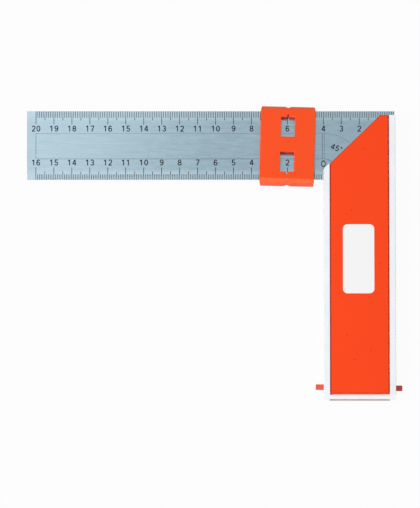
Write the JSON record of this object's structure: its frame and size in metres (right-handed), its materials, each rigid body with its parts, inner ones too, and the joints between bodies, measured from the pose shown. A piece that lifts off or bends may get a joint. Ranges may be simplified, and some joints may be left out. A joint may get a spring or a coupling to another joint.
{
  "type": "mitre square",
  "caption": "Try and mitre square: graduated steel blade in an aluminium stock with orange inlays, a sliding orange cursor and a sliding support bar.",
  "frame": {"origin": "the inner corner on the rear side: the stock's inner face is X = 0, the blade's inner edge is Y = 0 and the rear rails lie at Z = 0", "axes": "+X along the blade's line towards the stock's outer face, +Y along the stock towards its top, +Z from the rear side to the front side"},
  "size_m": [0.2085, 0.1668, 0.0128],
  "materials": {
    "stock_aluminium": "clear anodised, satin",
    "blade_steel": "stainless, finely brushed, dark etched graduations",
    "rivet_steel": "plain",
    "inlay_plastic": "orange, fine satin",
    "cursor_plastic": "orange, satin",
    "spring_steel": "hardened spring steel",
    "bar_plastic": "orange, satin"
  },
  "bodies": {
    "square": {"stock": "stock_aluminium", "blade": "blade_steel", "blade_rivets": "rivet_steel", "front_inlay": "inlay_plastic", "rear_inlay": "inlay_plastic"},
    "cursor": {"cursor": "cursor_plastic", "cursor_spring": "spring_steel"},
    "support_bar": {"support_bar": "bar_plastic"}
  },
  "joints": [
    {"name": "cursor_slide", "type": "slide", "parent": "square", "child": "cursor", "axis": [1, 0, 0], "range_m": [-0.14, 0.005]},
    {"name": "support_bar_slide", "type": "slide", "parent": "square", "child": "support_bar", "axis": [1, 0, 0], "range_m": [-0.0035, 0.0045]}
  ]
}
